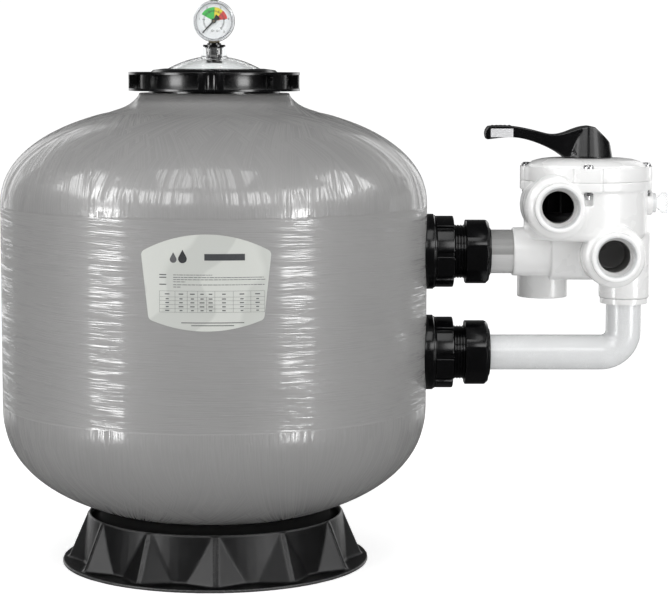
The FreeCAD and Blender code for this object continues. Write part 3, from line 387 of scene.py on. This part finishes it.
FINISH = {
    "winding": wound_fibre(),
    # satin black with a painted highlight on its ridges and painted shade in the trough around the tank's
    # axis
    "satin_black": moulded("satin_black", (0.0035, 0.0035, 0.0038), 0.34, grain=1300.0, depth=0.22 * MM,
                           specular=0.22, ridge_highlight=grey(0.20), shade_pit=(0.177, 0.051)),
    "gloss_black": moulded("gloss_black", (0.0022, 0.0022, 0.0026), 0.19, grain=700.0, depth=0.06 * MM,
                           coat=0.10, specular=0.32),
    "white_abs": valve_plastic("white_abs", (0.96, 0.96, 0.955)),
    "white_pvc": moulded("white_pvc", (0.83, 0.84, 0.845), 0.26, depth=0.06 * MM, mottle=0.02, coat=0.2),
    "grey_pvc": two_tone_pipe(),
    "clear": clear_plastic(),
    "rubber": moulded("rubber_black", (0.012, 0.012, 0.012), 0.62),
    "plug": moulded("plug_rubber", (0.33, 0.42, 0.31), 0.6),
    "steel": brushed("stainless", (0.62, 0.62, 0.63), 0.25),
    "brass": brushed("brass_turned", (0.24, 0.20, 0.14), 0.35),
    "case": moulded("case_grey", (0.50, 0.50, 0.52), 0.3, coat=0.3),
    "dial": moulded("dial_white", (0.88, 0.88, 0.89), 0.4, mottle=0.01),
    "needle": moulded("needle_black", (0.006, 0.006, 0.006), 0.4),
    "label": label_film(),
    "badge": moulded("badge_pale", (0.62, 0.62, 0.63), 0.35),
    "rotor_dark": moulded("rotor_dark", (0.010, 0.010, 0.011), 0.45),
    "inner_white": moulded("inner_white", (0.78, 0.78, 0.76), 0.4),
}

# Nodes whose finish isn't that of their material slot.
NODE_FINISH = {"rotor": "rotor_dark"}

for node_name, cad in NODES.items():
    cad.data.materials.clear()
    cad.data.materials.append(FINISH[NODE_FINISH.get(node_name, SLOT_OF[node_name])])


# ---------------------------------------------------------------- geometry helpers

def body_name(node):
    """Body that a CAD node belongs to."""
    for body, members in frame["record"]["behaviour"]["bodies"].items():
        if node in members:
            return body
    raise ValueError(node)


def add_piece(name, mesh, material, body):
    """Link a finished mesh as a piece that rides on a body."""
    piece = bpy.data.objects.new(name, mesh)
    bpy.context.scene.collection.objects.link(piece)
    mesh.materials.clear()
    mesh.materials.append(material)
    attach(piece, body)
    return piece


def stand_in(node, mesh):
    """Add a mesh as the piece that stands in for a CAD node."""
    slot = SLOT_OF[node]
    piece = add_piece(node + "_moulding", mesh, FINISH[slot], body_name(node))
    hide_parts(node)


def mesh_of(form, name):
    """Mesh with the faces of a bmesh, which is used up."""
    mesh = bpy.data.meshes.new(name)
    form.to_mesh(mesh)
    form.free()
    return mesh


def baked(work):
    """Mesh of a working object as it is after its modifiers, and the object is used up."""
    bpy.context.scene.collection.objects.link(work)
    mesh = bpy.data.meshes.new_from_object(work.evaluated_get(bpy.context.evaluated_depsgraph_get()))
    bpy.data.objects.remove(work)
    return mesh


def softened(node, width):
    """Stand-in for a CAD node with its hard edges rounded."""
    mesh = NODES[node].data.copy()
    form = bmesh.new()
    form.from_mesh(mesh)
    bmesh.ops.remove_doubles(form, verts=form.verts, dist=0.002 * MM)
    bmesh.ops.dissolve_limit(form, angle_limit=math.radians(0.6), verts=form.verts, edges=form.edges)
    hard = [edge for edge in form.edges
            if len(edge.link_faces) == 2 and edge.calc_face_angle(0.0) > math.radians(24.0)]
    bmesh.ops.bevel(form, geom=hard, offset=width, offset_type="OFFSET", segments=2,
                    profile=0.6, affect="EDGES", clamp_overlap=True, material=-1)
    form.to_mesh(mesh)
    form.free()
    mesh.shade_smooth()
    mesh.set_sharp_from_angle(angle=math.radians(34.0))
    stand_in(node, mesh)


def cast(node, voxel, passes):
    """Stand-in for a CAD node with the soft fillets of a moulding."""
    work = bpy.data.objects.new(node + "_work", NODES[node].data.copy())
    remesh = work.modifiers.new("remesh", "REMESH")
    remesh.mode, remesh.voxel_size, remesh.adaptivity = "VOXEL", voxel, 0.0
    relax = work.modifiers.new("relax", "SMOOTH")
    relax.factor, relax.iterations = 0.5, passes
    mesh = baked(work)
    mesh.shade_smooth()
    stand_in(node, mesh)


class Sheet:
    """Flat figures gathered into one mesh, placed by a function of two coordinates."""

    def __init__(self, place):
        self.form = bmesh.new()
        self.place = place

    def face(self, points):
        self.form.faces.new([self.form.verts.new(self.place(u, v)) for u, v in points])

    def bar(self, u0, u1, v0, v1, steps=1):
        for i in range(steps):
            a, b = u0 + (u1 - u0) * i / steps, u0 + (u1 - u0) * (i + 1) / steps
            self.face([(a, v0), (b, v0), (b, v1), (a, v1)])

    def sector(self, u, v, inner, outer, start_deg, end_deg, steps=16):
        angles = [math.radians(start_deg + (end_deg - start_deg) * i / steps) for i in range(steps + 1)]
        for a, b in zip(angles, angles[1:]):
            ring = [(inner, a), (outer, a), (outer, b), (inner, b)]
            self.face([(u + r * math.cos(t), v + r * math.sin(t)) for r, t in ring])

    def drop(self, u, v, radius):
        """Plain drop: a round foot and a point above."""
        angles = [math.radians(-210.0 + 10.0 * i) for i in range(25)]
        foot = [(u + radius * math.cos(a), v + radius * math.sin(a)) for a in angles]
        self.face(foot + [(u, v + 2.1 * radius)])

    def finish(self, name, material, body):
        bmesh.ops.remove_doubles(self.form, verts=self.form.verts, dist=0.001 * MM)
        add_piece(name, mesh_of(self.form, name), material, body)


# ---------------------------------------------------------------- printed matter, in millimetres

LABEL_LEFT, WORDS_LEFT = -60.0, -42.0
LABEL_WORDS = ((50.0, 436.5), (116.0, 433.3), (118.0, 430.4), (16.0, 427.6), (117.0, 423.8), (10.0, 420.9))
TABLE_ROWS = (416.0, 408.3, 403.6, 398.4, 393.2, 388.6)
TABLE_COLUMNS = (LABEL_LEFT, -40.0, -24.2, -10.8, 0.6, 11.2, 34.8, 57.2, 74.9)
SHORT_COLUMN = 4
RULE_WIDTH = 0.28


def on_label(x, z):
    """Point just above the label film, from millimetres across and up."""
    radius = BARREL_R + 0.47 * MM
    x = x * MM
    return (x, -math.sqrt(radius * radius - x * x), z * MM)


def print_words(text):
    """Broken lines in place of words; each line has its length and its height on the label."""
    for width, z in LABEL_WORDS:
        x, right = WORDS_LEFT, WORDS_LEFT + width
        while x < right:
            step = random.uniform(2.0, 6.5)
            text.bar(x, min(x + step, right), z, z + 0.75)
            x += step + 0.8


def print_table(text):
    """Ruled table with a tick in each cell."""
    for z in TABLE_ROWS:
        text.bar(TABLE_COLUMNS[0], TABLE_COLUMNS[-1], z, z + RULE_WIDTH, 24)
    for index, x in enumerate(TABLE_COLUMNS):
        top = TABLE_ROWS[1] if index == SHORT_COLUMN else TABLE_ROWS[0]
        text.bar(x, x + RULE_WIDTH, TABLE_ROWS[-1], top)
    for top, low in zip(TABLE_ROWS, TABLE_ROWS[1:]):
        for left, right in zip(TABLE_COLUMNS, TABLE_COLUMNS[1:]):
            across, up = 0.5 * (left + right), 0.5 * (top + low)
            half = 0.5 * random.uniform(3.4, 6.5)
            text.bar(across - half, across + half, up - 0.55, up + 0.75, 2)


def add_label_print():
    """Generic label: two drops for a mark, bars in place of words, and the table."""
    random.seed(7)
    text = Sheet(on_label)
    text.bar(-2.0, 50.0, 455.5, 464.0, 20)
    for z in (436.5, 433.0, 424.0):
        text.bar(LABEL_LEFT, LABEL_LEFT + 9.0, z, z + 1.2, 3)
    print_words(text)
    print_table(text)
    text.bar(-32.0, 49.0, 374.6, 375.6, 16)
    text.bar(-19.0, 36.0, 371.0, 372.0, 12)
    text.finish("label_print", ink("print_dark", (0.028, 0.030, 0.034)), "tank")
    mark = Sheet(on_label)
    mark.drop(-30.0, 457.6, 5.6)
    mark.finish("label_mark", ink("print_black", (0.010, 0.010, 0.013)), "tank")
    shade = Sheet(on_label)
    shade.drop(-42.0, 456.8, 4.4)
    shade.finish("label_mark_grey", ink("print_grey", (0.09, 0.09, 0.095)), "tank")


GAUGE_CENTRE_Z, DIAL_FRONT_Y = 765.0, -9.0
SCALE_START_DEG, SCALE_END_DEG = 226.0, -46.0
SCALE_MARKS, SCALE_NUMBERS = 50, 5
NUMBER_SIZE, NUMBER_CIRCLE_R = 4.6, 20.6
DIAL_ZONES = (
    ("green", 86.0, 151.0, (0.030, 0.48, 0.055)),
    ("yellow", 48.0, 86.0, (0.80, 0.66, 0.010)),
    ("red", 10.0, 48.0, (0.62, 0.022, 0.018)),
)


def on_dial(lift):
    """Placing function for figures a little in front of the dial, in millimetres from its centre."""
    return lambda u, v: (u * MM, (DIAL_FRONT_Y - lift) * MM, (GAUGE_CENTRE_Z + v) * MM)


def scale_angle(share):
    """Angle in degrees at a share of the gauge's range."""
    return SCALE_START_DEG + (SCALE_END_DEG - SCALE_START_DEG) * share


def add_dial_print():
    """Coloured sectors, scale marks and numbers of the pressure gauge."""
    for name, low, high, colour in DIAL_ZONES:
        zone = Sheet(on_dial(0.10))
        zone.sector(0.0, 0.0, 3.0, 19.3, low, high)
        zone.finish("dial_" + name, ink("dial_" + name, colour), "lid")
    marks = Sheet(on_dial(0.16))
    marks.sector(0.0, 0.0, 13.3, 13.65, SCALE_END_DEG, SCALE_START_DEG, 80)
    for i in range(SCALE_MARKS + 1):
        angle = scale_angle(i / SCALE_MARKS)
        inner = 13.6 if i % 5 else 12.3
        outer, half_width = (15.4, 0.9) if i % 10 else (16.2, 1.6)
        marks.sector(0.0, 0.0, inner, outer, angle - half_width, angle + half_width, 1)
    for u in (-2.2, 4.6):
        marks.sector(u, -13.4, 1.0, 1.5, 0.0, 360.0, 14)
        marks.bar(u + 1.6, u + 3.6, -13.9, -13.4)
    marks.finish("dial_marks", ink("dial_ink", (0.02, 0.02, 0.022)), "lid")
    for value in range(SCALE_NUMBERS + 1):
        add_dial_number(str(value), math.radians(scale_angle(value / SCALE_NUMBERS)))


def add_dial_number(digit, angle):
    """One scale number, standing upright at its angle."""
    curve = bpy.data.curves.new("dial_number_" + digit, "FONT")
    curve.body, curve.size, curve.align_x, curve.align_y = digit, NUMBER_SIZE * MM, "CENTER", "CENTER"
    mesh = baked(bpy.data.objects.new("number_work", curve))
    across, up = NUMBER_CIRCLE_R * math.cos(angle), NUMBER_CIRCLE_R * math.sin(angle)
    centre = Vector((across, DIAL_FRONT_Y - 0.2, GAUGE_CENTRE_Z + up)) * MM
    mesh.transform(Matrix.Translation(centre) @ Matrix.Rotation(math.radians(90.0), 4, "X"))
    number_ink = ink("dial_number_ink_" + digit, (0.02, 0.02, 0.022))
    add_piece("dial_number_" + digit, mesh, number_ink, "lid")


# ---------------------------------------------------------------- threads and winding, in millimetres

THREAD_TURNS, THREAD_PITCH, THREAD_START = 8, 2.7, 2.2
THREAD_CREST_R = 0.95

# Half section of the build-up around the neck: radius and height, from the dome up to the neck's wall.
NECK_PROFILE = ((150.0, 637.0), (142.0, 639.9), (134.0, 642.3), (126.0, 645.4), (119.0, 649.2),
                (113.5, 653.4), (109.0, 657.8), (106.2, 661.6), (105.2, 664.6), (103.5, 664.8))


def circle(steps):
    """Angles of a number of even steps around a circle."""
    return [2.0 * math.pi * i / steps for i in range(steps)]


def ring(form, centre, axis, ring_r, wire_r):
    """Add one round ring to a bmesh."""
    turn = Vector((0.0, 0.0, 1.0)).rotation_difference(axis).to_matrix()
    loops = []
    for a in circle(48):
        loop = []
        for b in circle(8):
            reach = ring_r + wire_r * math.cos(b)
            offset = Vector((reach * math.cos(a), reach * math.sin(a), wire_r * math.sin(b)))
            loop.append(form.verts.new(centre + turn @ offset))
        loops.append(loop)
    for here, there in zip(loops, loops[1:] + loops[:1]):
        for j in range(len(here)):
            form.faces.new((here[j - 1], there[j - 1], there[j], here[j]))


def add_port_threads():
    """Thread crests inside the three open ports."""
    for name, (mouth, inward) in PORTS.items():
        form = bmesh.new()
        axis = Vector(inward)
        for turn in range(THREAD_TURNS):
            centre = (Vector(mouth) + axis * (THREAD_START + THREAD_PITCH * turn)) * MM
            ring(form, centre, axis, THREAD_R * MM, THREAD_CREST_R * MM)
        mesh = mesh_of(form, "port_thread_" + name)
        mesh.shade_smooth()
        add_piece("port_thread_" + name, mesh, FINISH["white_pvc"], "valve")


def add_neck_winding():
    """Build-up of strands and resin where the upper dome runs up to the neck."""
    form = bmesh.new()
    loops = []
    for a in circle(180):
        points = [(r * MM * math.cos(a), r * MM * math.sin(a), z * MM) for r, z in NECK_PROFILE]
        loops.append([form.verts.new(point) for point in points])
    for here, there in zip(loops, loops[1:] + loops[:1]):
        for j in range(len(NECK_PROFILE) - 1):
            form.faces.new((here[j], there[j], there[j + 1], here[j + 1]))
    mesh = mesh_of(form, "neck_winding")
    mesh.shade_smooth()
    add_piece("neck_winding", mesh, FINISH["winding"], "tank")


# ---------------------------------------------------------------- stage

# The view: where the camera stands, how far down it looks, and how far right of the tank's axis it aims.
CAMERA_AZIMUTH_DEG, CAMERA_DISTANCE, CAMERA_HEIGHT = 2.2, 3.110, 0.710
CAMERA_PITCH_DEG, AIM_RIGHT_DEG, CAMERA_ROLL_DEG = 6.2, 3.11435, 0.15
SENSOR_MM, LENS_MM = 36.0, 118.563

# Brightness of the world: as seen, for diffuse light, and between the soft boxes in reflections.
BACKDROP, DIFFUSE_LIGHT, REFLECTED_DARK = 1.05, 0.50, 0.07

# Soft boxes seen in reflections: azimuth from the front, half width, lowest and highest elevation, all in
# degrees, and brightness.
SOFT_BOXES = (
    (-57.0, 9.5, -14.0, 7.0, 12.0),
    (46.0, 8.5, -14.0, 7.0, 11.0),
    (-44.0, 34.0, 17.0, 36.0, 5.0),
    (46.0, 42.0, 17.0, 36.0, 5.0),
    (-84.0, 16.0, 22.0, 50.0, 4.5),
    (92.0, 14.0, 22.0, 50.0, 4.5),
    (-150.0, 16.0, -10.0, 30.0, 1.2),
    (150.0, 16.0, -10.0, 30.0, 1.2),
)

FLOOR_REACH, FLOOR_GLOW = 9.0, 0.62
LIGHT_TARGET, LIGHT_DISTANCE = Vector((0.0, 0.0, 0.40)), 2.6


def add_camera():
    """Camera far off, slightly above the part's middle, looking a little down."""
    azimuth, pitch = math.radians(CAMERA_AZIMUTH_DEG), math.radians(CAMERA_PITCH_DEG)
    heading = azimuth - math.radians(AIM_RIGHT_DEG)
    forward = Vector((-math.sin(heading) * math.cos(pitch), math.cos(heading) * math.cos(pitch),
                      -math.sin(pitch)))
    data = bpy.data.cameras.new("view_camera")
    data.sensor_width, data.lens, data.clip_end = SENSOR_MM, LENS_MM, 60.0
    camera = bpy.data.objects.new("view_camera", data)
    away = Vector((math.sin(azimuth), -math.cos(azimuth), 0.0)) * CAMERA_DISTANCE
    camera.location = away + Vector((0.0, 0.0, CAMERA_HEIGHT))
    camera.rotation_mode = "QUATERNION"
    level = forward.to_track_quat("-Z", "Y")
    camera.rotation_quaternion = level @ Quaternion((0.0, 0.0, 1.0), math.radians(CAMERA_ROLL_DEG))
    bpy.context.scene.collection.objects.link(camera)
    bpy.context.scene.camera = camera


def area_light(name, azimuth_deg, elevation_deg, width, height, power):
    """Soft light seen from the tank at an azimuth, counted from the front, to the right."""
    a, e = math.radians(azimuth_deg), math.radians(elevation_deg)
    away = Vector((math.sin(a) * math.cos(e), -math.cos(a) * math.cos(e), math.sin(e)))
    data = bpy.data.lights.new(name, "AREA")
    data.shape, data.size, data.size_y, data.energy = "RECTANGLE", width, height, power
    lamp = bpy.data.objects.new(name, data)
    lamp.location = LIGHT_TARGET + away * LIGHT_DISTANCE
    lamp.rotation_mode = "QUATERNION"
    lamp.rotation_quaternion = (-away).to_track_quat("-Z", "Y")
    bpy.context.scene.collection.objects.link(lamp)


def add_world():
    """Studio: white to look at, soft for diffuse light, and dark with bright soft boxes for reflections."""
    world = bpy.data.worlds.new("studio")
    bpy.context.scene.world = world
    world.use_nodes = True
    s = NodeTree(world.node_tree)
    rays = s.add("ShaderNodeLightPath").outputs
    x, y, z = s.axes(s.add("ShaderNodeTexCoord").outputs["Generated"])
    elevation = s.math("ARCSINE", z)
    azimuth = s.math("ARCTAN2", x, s.times(y, -1.0))
    glow = REFLECTED_DARK
    for centre, half_width, low, high, power in SOFT_BOXES:
        off = s.math("ABSOLUTE", s.math("SUBTRACT", azimuth, math.radians(centre)))
        wide = s.below(off, math.radians(half_width), math.radians(2.0))
        tall = s.times(s.above(elevation, math.radians(low), math.radians(3.0)),
                       s.below(elevation, math.radians(high), math.radians(3.0)))
        glow = s.plus(glow, s.times(s.times(wide, tall), power))
    level = s.blend(rays["Is Glossy Ray"], DIFFUSE_LIGHT, glow)
    seen = s.math("MAXIMUM", rays["Is Camera Ray"], rays["Is Transmission Ray"])
    background = s.tree.nodes["Background"]
    background.inputs["Color"].default_value = (1.0, 1.0, 1.0, 1.0)
    s.feed(background.inputs["Strength"], s.blend(seen, level, BACKDROP))


def floor_white():
    """White floor that glows a little to the camera and isn't seen in reflections."""
    s = Shader("floor_white")
    rays = s.add("ShaderNodeLightPath").outputs
    s.set(Base_Color=(0.93, 0.93, 0.93, 1.0), Roughness=0.9, Specular_IOR_Level=0.0)
    s.set(Emission_Color=(1.0, 1.0, 1.0, 1.0), Emission_Strength=s.times(rays["Is Camera Ray"], FLOOR_GLOW))
    clear = s.add("ShaderNodeBsdfTransparent")
    either = s.add("ShaderNodeMixShader")
    for socket, value in zip(either.inputs, (rays["Is Glossy Ray"], s.bsdf.outputs[0], clear.outputs[0])):
        s.feed(socket, value)
    s.feed(s.tree.nodes["Material Output"].inputs["Surface"], either.outputs[0])
    return s.material


def add_floor():
    """Square floor around the part."""
    form = bmesh.new()
    for x, y in ((-1.0, -1.0), (1.0, -1.0), (1.0, 1.0), (-1.0, 1.0)):
        form.verts.new((x * FLOOR_REACH, y * FLOOR_REACH, 0.0))
    form.faces.new(form.verts)
    mesh = mesh_of(form, "floor")
    mesh.materials.append(floor_white())
    floor = bpy.data.objects.new("floor", mesh)
    bpy.context.scene.collection.objects.link(floor)


add_camera()
add_floor()
add_world()
area_light("key_left", -55.0, 18.0, 0.8, 1.8, 14.0)
area_light("key_right", 46.0, 18.0, 0.8, 1.8, 14.0)
area_light("overhead", -5.0, 58.0, 1.8, 1.4, 20.0)
bpy.context.scene.view_settings.view_transform = "Standard"
bpy.context.scene.view_settings.look = "None"

# ---------------------------------------------------------------- pieces

cast("tank_base", 1.5 * MM, 14)
cast("valve_body", 1.3 * MM, 5)
cast("handle", 0.8 * MM, 10)
softened("lock_ring", 0.9 * MM)
softened("valve_lid", 1.4 * MM)
for tag in ("upper", "lower"):
    softened("ring_nut_" + tag, 0.7 * MM)
    softened("union_nut_" + tag, 0.8 * MM)
    softened("saddle_" + tag, 0.8 * MM)
add_label_print()
add_dial_print()
add_port_threads()
add_neck_winding()
